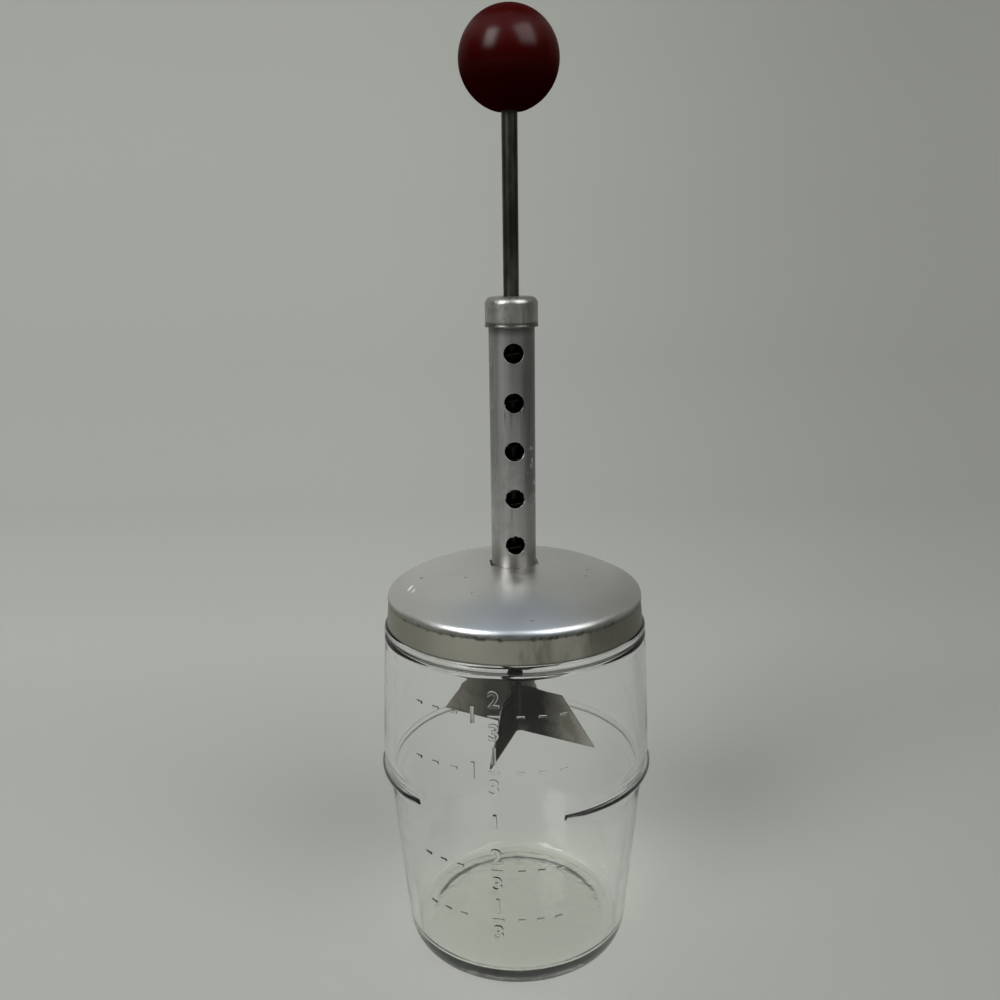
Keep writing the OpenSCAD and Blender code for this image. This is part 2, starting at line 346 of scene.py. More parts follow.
def glass_finish():
    """Clear pressed glass, faintly green, worn underneath and on its scale, and tinted grey underneath as
    painted shade over the floor seen through it. Lamps shine through it.
    """
    f = Finish("clear_glass")
    spot = f.place()
    x, y, z = f.parts_of(spot)
    waves = f.noise(f.scaled(spot, (1, 1, 0.4)), 55.0, 1.0)
    radius = (x * x + y * y) ** 0.5
    # The underside's grey tint is painted shade over the floor seen through the base; its roughness is wear.
    under = f.between(z, 0.0012, 0.0009)
    floor = f.between(z, 0.0052, 0.0045) * f.between(radius, 0.0340, 0.0325)
    ring = f.between(radius, 0.04335, 0.0437) * f.between(f.size_of(z - RING_Z * MM), 0.0016, 0.0012)
    on_wall = f.between(z, 0.010, 0.012) * f.between(z, 0.1045, 0.1035)
    raised = f.between(standing_out(f, radius, z), 0.15 * MM, 0.30 * MM) * on_wall
    worn = f.noise(spot, 90.0, 3.0)
    uneven = f.noise(spot, 130.0, 2.0) * floor
    body = f.surface(**{
        "Base_Color": f.blend(under, (1.0, 1.0, 1.0, 1), (0.72, 0.735, 0.705, 1)),
        "Roughness": under * (0.10 + worn * 0.20) + ring * 0.25 + raised * (1 - ring) * 0.25,
        "IOR": 1.5,
        "Specular_Tint": (0.6, 0.6, 0.6, 1),
        "Transmission_Weight": 1.0,
        "Normal": f.bump(waves + uneven * 6.0, 0.12, 0.0006),
    })
    clear = f.node("ShaderNodeBsdfTransparent", {}, {"Color": (0.90, 0.91, 0.895, 1)})
    lamp = f.node("ShaderNodeLightPath", {}, {}, "Is Shadow Ray")
    shown = f.node("ShaderNodeMixShader", {}, {0: lamp, 1: body, 2: clear})
    tint = f.node("ShaderNodeVolumeAbsorption", {}, {"Color": (0.84, 0.875, 0.82, 1), "Density": 9.0})
    return f.show(shown, tint)


def nick(f, x, y, at_x, at_y, turn, half):
    """A short scratch seen from above: place in millimetres, turn in degrees and half its length."""
    a = math.radians(turn)
    along = f.size_of((x - at_x * MM) * math.cos(a) + (y - at_y * MM) * math.sin(a))
    across = f.size_of((y - at_y * MM) * math.cos(a) - (x - at_x * MM) * math.sin(a))
    return f.between(along, half * MM, half * 0.7 * MM) * f.between(across, 0.55 * MM, 0.30 * MM)


def lid_finish():
    """Spun aluminium with turning marks, scuffs, nicks, small pits and a browned, smeared skirt, and painted
    light and shade: a paler left and a bluish sheen on the dome, a dark patch in front of the tube, dark
    lines in the crease and at the hem, and a skirt darker at its ends and to the right.
    """
    f = Finish("spun_aluminium")
    spot = f.place()
    x, y, z = f.parts_of(spot)
    radius = (x * x + y * y) ** 0.5
    rings = f.node("ShaderNodeTexNoise", {"noise_dimensions": "1D"},
                   {"W": radius * 2600.0, "Scale": 1.0, "Detail": 2.0})
    cloud = f.noise(spot, 42.0, 5.0, 0.62)
    dents = f.noise(spot, 70.0, 2.0)
    dimples = f.noise(spot, 210.0, 2.0)
    grain = f.noise(spot, 1400.0, 3.0)
    scuff = f.between(f.noise(f.scaled(spot, (1.0, 2.5, 1.0)), 260.0, 6.0, 0.7), 0.62, 0.72)
    pits = f.node("ShaderNodeTexVoronoi", {}, {"Vector": spot, "Scale": 330.0})
    rare = f.between(f.noise(spot, 85.0, 3.0), 0.56, 0.62)
    skirt = 1 - f.between(z, (CREASE_Z - 1.0) * MM, (CREASE_Z + 0.2) * MM)
    patch = f.between(((x - 0.0245) ** 2 + (y + 0.0068) ** 2) ** 0.5, 0.0052, 0.0018)
    pit = (1 - f.between(pits, 0.10, 0.20)) * f.between(rare * (1 - skirt) + patch, 0.0, 1.0)
    nicks = nick(f, x, y, -32.3, -10.5, 62, 1.5) + nick(f, x, y, -31.0, -13.4, 66, 1.0) * 0.6
    rim = f.between(radius + (cloud - 0.5) * 0.010, 0.030, 0.0385)
    # Real smears, plus painted shade that darkens the skirt towards the right.
    smear_and_right_shade = f.between(f.noise(f.scaled(spot, (1.0, 1.0, 0.35)), 75.0, 5.0, 0.65) + x * 9.0, 0.52, 0.80)
    # Painted shadow: a dark line painted along the skirt's lower edge.
    hem_shadow = f.between(z, (SKIRT_Z + 0.75) * MM, (SKIRT_Z + 0.35) * MM)
    at_crease = (f.between(z, (CREASE_Z - 1.5) * MM, (CREASE_Z - 0.9) * MM)
                 * f.between(z, (CREASE_Z + 0.5) * MM, (CREASE_Z - 0.1) * MM))
    flecks = f.between(f.noise(spot, 420.0, 4.0), 0.52, 0.62) * at_crease
    ragged_z = z + (cloud - 0.5) * 0.003
    # Painted shade: a dark band painted along the crease under the shoulder.
    crease_shade = (f.between(z, (CREASE_Z - 1.1) * MM, (CREASE_Z - 0.6) * MM)
            * f.between(ragged_z, (CREASE_Z + 1.3) * MM, (CREASE_Z + 0.1) * MM))
    # Painted light: the dome's left side is painted paler.
    painted_light_left = f.between(x, 0.008, -0.024)
    # Painted highlight: a bluish sheen painted on the front of the dome.
    painted_sheen = f.between(y, -0.021, -0.033) * f.between(f.size_of(x), 0.028, 0.008)
    # Painted shadow: a dark patch painted on the dome just in front of the tube's foot.
    shade = f.between(((x - 0.002) ** 2 + (y + 0.0095) ** 2) ** 0.5, 0.0055, 0.002)
    dome = f.blend(cloud, (0.61, 0.61, 0.595, 1), (0.84, 0.84, 0.825, 1))
    dome = f.blend(rim * 0.45, dome, (0.44, 0.43, 0.39, 1))
    dome = f.blend(painted_light_left * 0.38, dome, (1.0, 1.0, 0.97, 1))
    dome = f.blend(painted_sheen * 0.55, dome, (0.50, 0.57, 0.66, 1))
    dome = f.blend(shade * 0.55, dome, (0.22, 0.22, 0.20, 1))
    # Painted shade: the skirt's left and right ends are painted darker.
    ends = f.between(f.size_of(x), 0.016, 0.034)
    brown = f.blend(cloud, (0.37, 0.36, 0.31, 1), (0.49, 0.48, 0.42, 1))
    brown = f.blend(smear_and_right_shade * 0.88, brown, (0.17, 0.165, 0.135, 1))
    brown = f.blend(ends * 0.5, brown, (0.20, 0.195, 0.165, 1))
    base = f.blend(skirt, dome, brown)
    base = f.blend(crease_shade * 0.7, base, (0.08, 0.075, 0.06, 1))
    base = f.blend(flecks * 0.7, base, (0.06, 0.055, 0.045, 1))
    base = f.blend(hem_shadow * 0.6, base, (0.09, 0.085, 0.075, 1))
    base = f.blend(scuff * 0.35, base, (0.36, 0.35, 0.32, 1))
    base = f.blend(pit * 0.9, base, (0.06, 0.05, 0.04, 1))
    base = f.blend(nicks, base, (0.95, 0.94, 0.92, 1))
    rough = 0.31 + cloud * 0.10 + scuff * 0.10 + skirt * 0.08
    turned = 0.35 + f.between(radius, 0.020, 0.009) * 0.5
    height = rings * turned + grain * 0.25 - scuff * 0.4 - pit * 1.2 - nicks * 1.5 + dents * 3.0 + dimples
    return f.show(f.surface(**{
        "Base_Color": base,
        "Metallic": 1 - nicks * 0.8,
        "Roughness": rough,
        "Normal": f.bump(height, 0.2, 0.0002),
    }))


def tube_finish():
    """Drawn aluminium, dulled and streaked, with dents and a mottled cap; painted shade darkens its right
    side, under the cap and near the lid, and its paler foot is a painted reflection of the lid.
    """
    f = Finish("drawn_aluminium")
    spot = f.place()
    x, z = f.parts_of(spot)[::2]
    streak = f.noise(f.scaled(spot, (1, 1, 0.03)), 700.0, 4.0, 0.6)
    broad = f.noise(f.scaled(spot, (1, 1, 0.10)), 170.0, 3.0)
    cloud = f.noise(spot, 130.0, 4.0, 0.6)
    mottle = f.noise(spot, 420.0, 3.0, 0.6)
    dents = f.noise(f.scaled(spot, (1, 1, 0.5)), 220.0, 2.0)
    grime = f.between(cloud, 0.52, 0.75)
    # Painted reflection: the tube is painted paler towards its foot, where the lid reflects in it.
    foot_reflection = f.between(z + (cloud - 0.5) * 0.04, 0.172, 0.142)
    # Painted shade: the tube's right side is painted darker, and the stain mask below darkens it most in a
    # band under the cap.
    side = f.between(x + (broad - 0.5) * 0.004, 0.0015, 0.0055)
    stain = side * f.between(z + (cloud - 0.5) * 0.03, 0.146, 0.156) * f.between(z, 0.203, 0.198)
    line = f.between(f.noise(f.scaled(spot, (1, 1, 0.06)), 900.0, 3.0), 0.60, 0.70)
    rubbed = (f.between(f.noise(spot, 300.0, 5.0, 0.7), 0.54, 0.66)
              * f.between(f.noise(f.scaled(spot, (1, 1, 0.6)), 90.0, 2.0), 0.50, 0.60))
    cap = f.between(z, 0.2022, 0.2026)
    # Painted shade: a dark band painted on the tube just under the cap and on the cap's lip.
    lip = f.between(z, 0.1990, 0.2020) * f.between(z, 0.2042, 0.2034)
    # Painted shade: the tube is painted darker close to the lid.
    low = f.between(z + (mottle - 0.5) * 0.004, 0.1385, 0.1305)
    base = f.blend(streak, (0.24, 0.24, 0.235, 1), (0.53, 0.525, 0.52, 1))
    base = f.blend(f.between(broad, 0.42, 0.62) * 0.5, base, (0.235, 0.23, 0.24, 1))
    base = f.blend(foot_reflection * (0.2 + mottle * 0.5), base, (0.56, 0.55, 0.535, 1))
    base = f.blend(cap * 0.5, base, (0.54, 0.54, 0.49, 1))
    base = f.blend(cap * f.between(mottle, 0.45, 0.65) * 0.5, base, (0.27, 0.27, 0.235, 1))
    base = f.blend(side * 0.35, base, (0.16, 0.16, 0.165, 1))
    base = f.blend(stain * 0.55, base, (0.11, 0.105, 0.11, 1))
    base = f.blend(grime * 0.4, base, (0.20, 0.19, 0.165, 1))
    base = f.blend(line * 0.45, base, (0.12, 0.12, 0.115, 1))
    base = f.blend(rubbed * 0.5, base, (0.78, 0.77, 0.75, 1))
    base = f.blend(lip * 0.8, base, (0.10, 0.10, 0.09, 1))
    base = f.blend(low * 0.5, base, (0.20, 0.19, 0.17, 1))
    return f.show(f.surface(**{
        "Base_Color": base,
        "Metallic": 1.0,
        "Roughness": 0.31 + streak * 0.10 + grime * 0.10,
        "Normal": f.bump(streak * 0.4 + dents * 2.2 - line * 0.4, 0.25, 0.0002),
    }))


def rod_finish():
    """Dark drawn steel with stains, with painted shade where it runs inside the tube and the jar."""
    f = Finish("dark_rod_steel")
    spot = f.place()
    z = f.parts_of(spot)[2]
    streak = f.noise(f.scaled(spot, (1, 1, 0.02)), 1500.0, 3.0)
    stain = f.noise(f.scaled(spot, (1, 1, 0.3)), 190.0, 5.0, 0.6)
    base = f.blend(f.between(stain, 0.35, 0.7), (0.045, 0.043, 0.037, 1), (0.098, 0.095, 0.083, 1))
    # Painted shade: the rod is painted near black below the cap.
    base = f.blend(f.between(z, 0.212, 0.206) * 0.8, base, (0.008, 0.0075, 0.0065, 1))
    return f.show(f.surface(**{
        "Base_Color": base,
        "Metallic": 1.0,
        "Roughness": 0.25 + stain * 0.2,
        "Normal": f.bump(streak, 0.2, 0.0001),
    }))


def knob_finish():
    """Dark red paint on a turned wooden ball, glossier above, rubbed in places, with painted shade on its
    lower part and at its crown.
    """
    f = Finish("dark_red_paint")
    spot = f.place()
    x, z = f.parts_of(spot)[::2]
    cloud = f.noise(spot, 150.0, 5.0, 0.6)
    ripple = f.noise(f.scaled(spot, (1, 1, 4.0)), 120.0, 3.0)
    grain = f.noise(spot, 420.0, 4.0, 0.65)
    rub = f.between(grain, 0.6, 0.75)
    upper = f.between(z, 0.270, 0.284)
    crown = f.between(z, 0.2835, 0.2885)
    flank = f.between(f.size_of(x), 0.0075, 0.0130)
    base = f.blend(cloud, (0.038, 0.0006, 0.0006, 1), (0.056, 0.0010, 0.0010, 1))
    # Painted shade: the ball is painted darker below its upper part.
    base = f.blend(upper, (0.016, 0.0005, 0.0004, 1), base)
    # Painted shade: the crown is painted darker.
    base = f.blend(crown * 0.5, base, (0.030, 0.0007, 0.0006, 1))
    base = f.blend(rub * upper * 0.25, base, (0.11, 0.012, 0.010, 1))
    return f.show(f.surface(**{
        "Base_Color": base,
        "Roughness": 0.5,
        "Specular_IOR_Level": 0.0,
        "Coat_Weight": upper * (1 - crown * 0.9) * (1 - flank * 0.6) * (0.75 + cloud * 0.35),
        "Coat_IOR": 1.32,
        "Coat_Roughness": 0.22,
        "Normal": f.bump(ripple + grain * 0.5, 0.5, 0.0005),
    }))


def spring_finish():
    """Dark steel wire, painted near black as shade inside the tube and the cap."""
    f = Finish("spring_wire_steel")
    stain = f.noise(f.place(), 160.0, 4.0)
    # Painted shade: the dark steel is painted near black, as the wire and the washer sit in shade.
    base = f.blend(stain, (0.006, 0.006, 0.0055, 1), (0.014, 0.0135, 0.0125, 1))
    return f.show(f.surface(Base_Color=base, Metallic=1.0, Roughness=0.28 + stain * 0.15))


def blade_finish():
    """Tarnished sheet steel with rolling marks and stains, with painted shade near the rod and on its front
    wing, and darker on its left half.
    """
    f = Finish("tarnished_blade_steel")
    spot = f.place()
    x, y, z = f.parts_of(spot)
    radius = (x * x + y * y) ** 0.5
    stain = f.noise(spot, 120.0, 6.0, 0.65)
    marks = f.noise(f.scaled(spot, (1, 1, 14.0)), 160.0, 4.0)
    # Painted shade: darkest near the rod, lighter towards the tips.
    out_of_rod_shade = f.between(radius + (stain - 0.5) * 0.016, 0.009, 0.024)
    base = f.blend(out_of_rod_shade, (0.022, 0.021, 0.018, 1), (0.36, 0.35, 0.31, 1))
    base = f.blend(f.between(stain, 0.48, 0.62) * 0.6, base, (0.10, 0.090, 0.062, 1))
    bright = f.between(radius + (stain - 0.5) * 0.02, 0.023, 0.029) * f.between(z, 0.082, 0.074)
    base = f.blend(bright * 0.6, base, (0.60, 0.59, 0.55, 1))
    # Darker on the left half.
    left_half_darker = f.between(x + (stain - 0.5) * 0.012, 0.004, -0.004)
    # Painted shade: the front wing is painted near black.
    front = f.between(x, 0.006, 0.002) * f.between(y, -0.003, -0.007)
    base = f.blend(left_half_darker * 0.5, base, (0.085, 0.080, 0.066, 1))
    base = f.blend(front * 0.85, base, (0.022, 0.021, 0.019, 1))
    return f.show(f.surface(**{
        "Base_Color": base,
        "Metallic": 1.0,
        "Specular_Tint": (0.35, 0.34, 0.32, 1),
        "Roughness": 0.24 + stain * 0.22,
        "Normal": f.bump(marks * 0.5 + stain, 0.2, 0.0002),
    }))


# Painted light falloff of the backdrop: grey levels by height, in half metres
BACKDROP_LIGHT_FALLOFF = ((0.0, 0.933), (0.03, 0.833), (0.10, 0.733), (0.28, 0.725), (0.53, 0.817), (0.84, 0.983))


def backdrop_finish():
    """Pale backdrop with painted light falloff: painted dimmer to the right and half way up."""
    f = Finish("pale_backdrop")
    x, z = f.parts_of(f.place())[::2]
    # Painted light and shade: grey by height, and darker towards the right.
    level = f.ramp(z * 2.0, *[(at, (grey, grey, grey, 1)) for at, grey in BACKDROP_LIGHT_FALLOFF])
    shade = level * (1 - f.between(x, -0.15, 0.40) * 0.28)
    return f.show(f.surface(**{
        "Base_Color": f.blend(shade, (0.0, 0.0, 0.0, 1), (0.48, 0.488, 0.461, 1)),
        "Roughness": 0.9,
        "Specular_IOR_Level": 0.1,
    }))


def hand_over(piece, finish, body, slot, *nodes):
    """Give a piece its finish, the body it rides on and the solids it stands for; its slot is not used."""
    piece.data.materials.clear()
    piece.data.materials.append(finish)
    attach(piece, body)
    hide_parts(*nodes)


# Camera fitted to the photo: lens in millimetres, place in metres, turns in degrees
LENS = 35.369
CAMERA_AT = (0, -0.300, 0.22243)
LOOK_ASIDE = 0.8
LOOK_DOWN = 13.833
LEAN = -0.785


def set_camera():
    """Set up the camera that the photo was taken with."""
    lens = bpy.data.cameras.new("photo_camera")
    lens.sensor_fit = "HORIZONTAL"
    lens.sensor_width = 36.0
    lens.lens = LENS
    lens.clip_start = 0.01
    camera = bpy.data.objects.new("photo_camera", lens)
    bpy.context.collection.objects.link(camera)
    camera.matrix_world = (
        Matrix.Translation(CAMERA_AT)
        @ Matrix.Rotation(math.radians(LOOK_ASIDE), 4, "Z")
        @ Matrix.Rotation(math.radians(90 - LOOK_DOWN), 4, "X")
        @ Matrix.Rotation(math.radians(LEAN), 4, "Z"))
    bpy.context.scene.camera = camera


# Brightness of the room by height, from level to straight up
ROOM = ((0.0, (0.060, 0.062, 0.058, 1)), (0.3, (0.056, 0.058, 0.056, 1)), (0.62, (0.24, 0.25, 0.26, 1)),
        (1.0, (0.50, 0.52, 0.54, 1)))
# Windows: direction from the viewer's side, height in degrees, half width, half height, brightness
WINDOWS = ((-46, 35, 0.27, 0.42, 7.4), (47, 42, 0.44, 0.48, 3.7))
SOFT_EDGE = 0.45


def set_world():
    """Dim room with a pale ceiling and two soft windows. Seen past the floor's edge it is pale."""
    f = Finish("studio", bpy.data.worlds)
    x, y, z = f.parts_of(f.node("ShaderNodeTexCoord", {}, {}, "Generated"))
    light = f.ramp(z, *ROOM)
    for azimuth, height, wide, tall, strength in WINDOWS:
        a = math.radians(azimuth)
        e = math.radians(height)
        ahead = (x * (math.sin(a) * math.cos(e)) - y * (math.cos(a) * math.cos(e))) + z * math.sin(e)
        across = f.size_of((x * math.cos(a) + y * math.sin(a)) / ahead)
        upward = f.size_of((y * (math.cos(a) * math.sin(e)) - x * (math.sin(a) * math.sin(e))
                            + z * math.cos(e)) / ahead)
        pane = (f.between(across, wide, wide * SOFT_EDGE) * f.between(upward, tall, tall * SOFT_EDGE)
                * f.between(ahead, 0.1, 0.2))
        light = f.blend(pane, light, (strength, strength, strength * 0.98, 1))
    lit = f.node("ShaderNodeBackground", {}, {"Color": light, "Strength": 1.0})
    pale = f.node("ShaderNodeBackground", {}, {"Color": (0.37, 0.377, 0.355, 1), "Strength": 1.0})
    seen = f.node("ShaderNodeLightPath", {}, {}, "Is Camera Ray")
    both = f.node("ShaderNodeMixShader", {}, {0: seen, 1: lit, 2: pale})
    f.node("ShaderNodeOutputWorld", {}, {"Surface": both})
    bpy.context.scene.world = f.owner


# Backdrop in metres: width, length and middle of the floor, height of the wall, bend between them,
# and a hair's breadth under the jar
FLOOR_WIDE = 5.0
FLOOR_LONG = 3.4
FLOOR_MIDDLE = -1.1
WALL_TALL = 2.6
FLOOR_BEND = 0.42
FLOOR_BELOW = 0.00005


def lay_backdrop():
    """Floor and wall in one sweep."""
    start(bpy.ops.mesh.primitive_plane_add, size=1.0)
    bpy.ops.transform.resize(value=(FLOOR_WIDE, FLOOR_LONG, 1), center_override=(0, 0, 0))
    bpy.ops.transform.translate(value=(0, FLOOR_MIDDLE, -FLOOR_BELOW))
    pick("EDGE", lambda e: all(v.co.y > 0.5 for v in e.verts))
    bpy.ops.mesh.extrude_region_move(TRANSFORM_OT_translate={"value": (0, 0, WALL_TALL)})
    pick("EDGE", lambda e: all(v.co.y > 0.5 and v.co.z < 0.1 for v in e.verts))
    bpy.ops.mesh.bevel(offset=FLOOR_BEND, segments=24, affect="EDGES")
    bpy.ops.mesh.select_all(action="SELECT")
    bpy.ops.mesh.normals_make_consistent(inside=False)
    sweep = leave("backdrop")
    smooth(sweep, 60)
    sweep.data.materials.append(backdrop_finish())


def around(x, y):
    """Direction of a point in degrees, from the front towards the right."""
    return math.degrees(math.atan2(x, -y))


def wall_radius(z):
    """Outer radius of the jar's wall at a height."""
    if z > SLOPE_HIGH[1]:
        low, high = SLOPE_HIGH, BARREL_TOP
    elif z < SLOPE_LOW[1]:
        low, high = HEEL_TOP, SLOPE_LOW
    else:
        low, high = SLOPE_LOW, SLOPE_HIGH
    share = (z - low[1]) / (high[1] - low[1])
    if low is SLOPE_LOW:
        share = share * share * (3 - 2 * share)
    return low[0] + (high[0] - low[0]) * share


def jar_outline():
    """Closed outline of the glass, from the middle of the bottom round to the middle of the floor."""
    heel = [(HEEL_R + HEEL_WIDE * math.sin(math.radians(a)), HEEL_TALL * (1 - math.cos(math.radians(a))))
            for a in range(0, 76, 5)]
    wall = [(wall_radius(z), z) for z in spaced(HEEL_TOP[1], SLOPE_LOW[1], 12)[1:-1]]
    slope = [(wall_radius(z), z) for z in spaced(SLOPE_LOW[1], SLOPE_HIGH[1], 24)]
    slope = [p for p in slope if abs(p[1] - RING_Z) > RING_HALF + 0.15]
    slope = sorted(slope + [(wall_radius(z), z) for z in RING_ROWS], key=lambda p: p[1])
    barrel = [(wall_radius(z), z) for z in spaced(SLOPE_HIGH[1], BARREL_TOP[1], 12)[1:-1]]
    neck = through([BARREL_TOP, (41.93, 106.1), (41.7, 106.55), (41.3, 106.85), (41.05, 107.08),
                    (41.25, 107.32), (41.62, 107.68), (41.84, 108.15), (41.88, 108.6), (41.7, 109.1),
                    (41.3, 109.48), (40.7, 109.68), (39.9, 109.74), (39.5, 110.1)], 4)
    lip = arc(38.0, 116.2, 1.5, 0, 180, 16)
    bore = through([(36.5, 116.2), (36.5, 112.0), (36.58, 109.6), (36.95, 108.3), (37.6, 107.3),
                    (38.4, 106.4), (38.9, 105.4), (39.06, 104.2), (39.13, 102.5)], 5)[1:]
    inside = [(wall_radius(z) - GLASS_WALL, z) for z in spaced(101.0, GLASS_FLOOR + FLOOR_CORNER + 0.4, 60)]
    low_r = wall_radius(GLASS_FLOOR + FLOOR_CORNER) - GLASS_WALL
    corner = arc(low_r - FLOOR_CORNER, GLASS_FLOOR + FLOOR_CORNER, FLOOR_CORNER, -3, -90, 12)
    return ([(0, PUSH_UP), (12, PUSH_UP), (24, PUSH_UP), (27.2, 0.92 * PUSH_UP), (28.6, 0.6 * PUSH_UP)]
            + [(29.6, 0.2 * PUSH_UP), (30.6, 0.02), (32.5, 0.0)] + heel + wall + slope + barrel + neck + lip
            + bore + inside + corner + [(20, GLASS_FLOOR), (10, GLASS_FLOOR), (0, GLASS_FLOOR)])


def in_break(x, y):
    """Whether a direction falls in the break of the ring."""
    return abs(around(x, y) - BREAK_MIDDLE) < BREAK_HALF


def ring_share(x, y):
    """Share of its full height at which the ring stands out: half at its two ends."""
    past = abs(around(x, y) - BREAK_MIDDLE) - BREAK_HALF
    return round(0.5 + 0.5 * min(max(past / RING_TAPER, 0.0), 1.0), 2)


def raise_ring(jar):
    """Raise the broken measuring ring out of the wall, lower it to its ends and round its edges."""
    enter(jar)

    def on_ring(face):
        """Whether a face of the outer wall becomes the ring's front."""
        c = face.calc_center_median() / MM
        return abs(c.z - RING_Z) < RING_HALF and c.xy.length > OUTSIDE_R and not in_break(c.x, c.y)

    pick("FACE", on_ring)
    bpy.ops.mesh.extrude_region_move(TRANSFORM_OT_translate={"value": (0, 0, 0)})
    mesh = bmesh.from_edit_mesh(jar.data)
    raised = [v.index for v in mesh.verts if v.select]
    mesh.verts.ensure_lookup_table()
    share = {i: ring_share(mesh.verts[i].co.x, mesh.verts[i].co.y) for i in raised}
    for z, r in RING_ROWS.items():
        for part in sorted(set(share.values())):
            bpy.ops.mesh.select_all(action="DESELECT")
            mesh = bmesh.from_edit_mesh(jar.data)
            mesh.verts.ensure_lookup_table()
            for i in raised:
                mesh.verts[i].select_set(abs(mesh.verts[i].co.z / MM - z) < 0.05 and share[i] == part)
            bmesh.update_edit_mesh(jar.data)
            grow = 1 + part * (r / wall_radius(z) - 1)
            bpy.ops.transform.resize(value=(grow, grow, 1), center_override=(0, 0, 0))
    pick("FACE", lambda f: all(v.index in set(raised) for v in f.verts))
    bpy.ops.mesh.region_to_loop()
    bpy.ops.mesh.bevel(offset=RING_ROUND * MM, segments=4, affect="EDGES")
    bpy.ops.mesh.select_all(action="SELECT")
    bpy.ops.mesh.normals_make_consistent(inside=False)
    leave("jar_glass")


def stand_on_wall(mark, azimuth, z, proud):
    """Turn a flat mark upright and set its face a little proud of the jar's wall."""
    select_only(mark)
    lean = math.atan2(wall_radius(z + 1) - wall_radius(z - 1), 2)
    mark.matrix_world = (
        Matrix.Rotation(math.radians(azimuth), 4, "Z")
        @ Matrix.Translation((0, -(wall_radius(z) + proud) * MM, z * MM))
        @ Matrix.Rotation(math.radians(90) + lean, 4, "X"))
    bpy.ops.object.transform_apply(location=True, rotation=True, scale=True)


# Raised marks: size, depth and rounding of the numerals, then height, depth and rounding of the dashes
FIGURE_SIZE = 7.0
FIGURE_DEEP = 0.5
FIGURE_ROUND = 0.22
DASH_TALL = 0.85
DASH_DEEP = 1.2
DASH_ROUND = 0.3


def figure(digit, azimuth, z):
    """A raised numeral."""
    bpy.ops.object.select_all(action="DESELECT")
    bpy.ops.object.text_add(location=(0, 0, 0))
    text = bpy.context.object
    text.data.body = digit
    text.data.size = FIGURE_SIZE * MM
    text.data.align_x = "CENTER"
    text.data.align_y = "CENTER"
    text.data.extrude = FIGURE_DEEP * MM
    text.data.bevel_depth = FIGURE_ROUND * MM
    text.data.bevel_resolution = 2
    text.data.resolution_u = 4
    bpy.ops.object.convert(target="MESH")
    mark = bpy.context.object
    enter(mark)
    tidy_mesh()
    mark = leave("figure")
    stand_on_wall(mark, azimuth, z, -0.1)
    return mark


def dash(azimuth, z, length):
    """A raised short bar with rounded corners."""
    start(bpy.ops.mesh.primitive_cube_add, size=MM)
    bpy.ops.transform.resize(value=(length, DASH_TALL, DASH_DEEP), center_override=(0, 0, 0))
    pick("FACE", lambda f: f.normal.z > 0.9)
    bpy.ops.mesh.region_to_loop()
    bpy.ops.mesh.bevel(offset=DASH_ROUND * MM, segments=3, affect="EDGES")
    mark = leave("dash")
    stand_on_wall(mark, azimuth, z, -0.2)
    return mark


# Levels of the scale: height, whole number, part over three
LEVELS = [(25.7, "", "1"), (43.7, "", "2"), (RING_Z, "1", ""), (77.7, "1", "1"), (95.0, "1", "2")]
# Directions of parts, whole numbers and dashes in degrees, then their lengths and spacing
PART_AT = -8.5
WHOLE_AT = -17.0
DASHES_AT = (-42, -33.5, -25, 2, 10.5, 19)
DASH_LONG = 2.3
BAR_LONG = 3.6
FIGURE_OFF_BAR = 5.0


def scale_marks():
    """All numerals and dashes of the measuring scale as one solid."""
    marks = []
    for z, whole, part in LEVELS:
        if part:
            marks.append(figure(part, PART_AT, z + FIGURE_OFF_BAR))
            marks.append(dash(PART_AT, z, BAR_LONG))
            marks.append(figure("3", PART_AT, z - FIGURE_OFF_BAR))
            for azimuth in DASHES_AT:
                marks.append(dash(azimuth, z, DASH_LONG))
        if whole:
            marks.append(figure(whole, WHOLE_AT if part else PART_AT, z))
    bpy.ops.object.select_all(action="DESELECT")
    for mark in marks:
        mark.select_set(True)
    bpy.context.view_layer.objects.active = marks[0]
    bpy.ops.object.join()
    return bpy.context.object


def make_jar():
    """Glass jar with its ring and measuring scale."""
    jar = turn_on_lathe("jar_glass", jar_outline(), JAR_STEPS)
    raise_ring(jar)
    combine(jar, scale_marks(), "UNION")
    smooth(jar, 35)
    hand_over(jar, glass_finish(), "jar", "glass", "glass_jar")


# Lid: its radius, the flat crown's, the rounded shoulder's and the skirt's, and how far the skirt opens
LID_R = 40.5
CROWN_R = 12.0
SHOULDER_R = 2.6
SKIRT_R = 40.36
SKIRT_FLARE = 0.62
CREASE_H = 0.9
LID_STEPS = 192


def lid_surface(wall):
    """Lid surface from the crown to the skirt's lower edge, set in by a wall."""
    run = LID_R - SHOULDER_R - CROWN_R
    dome_r = (DOME_H ** 2 + run ** 2 - SHOULDER_R ** 2) / (2 * (DOME_H - SHOULDER_R))
    meet = math.degrees(math.acos(run / (dome_r - SHOULDER_R)))
    dome = arc(CROWN_R, CROWN_Z - dome_r, dome_r - wall, 90, meet, 24)
    shoulder = arc(LID_R - SHOULDER_R, CREASE_Z, SHOULDER_R - wall, meet, -6, 14)[1:]
    crease = [(40.34 - wall, CREASE_Z - 0.42), (40.32 - wall, CREASE_Z - 0.62)]
    top_z = CREASE_Z - CREASE_H
    skirt = [(SKIRT_R - wall + SKIRT_FLARE * i / 8, top_z + (SKIRT_Z - top_z) * i / 8) for i in range(9)]
    return dome + shoulder + crease + skirt


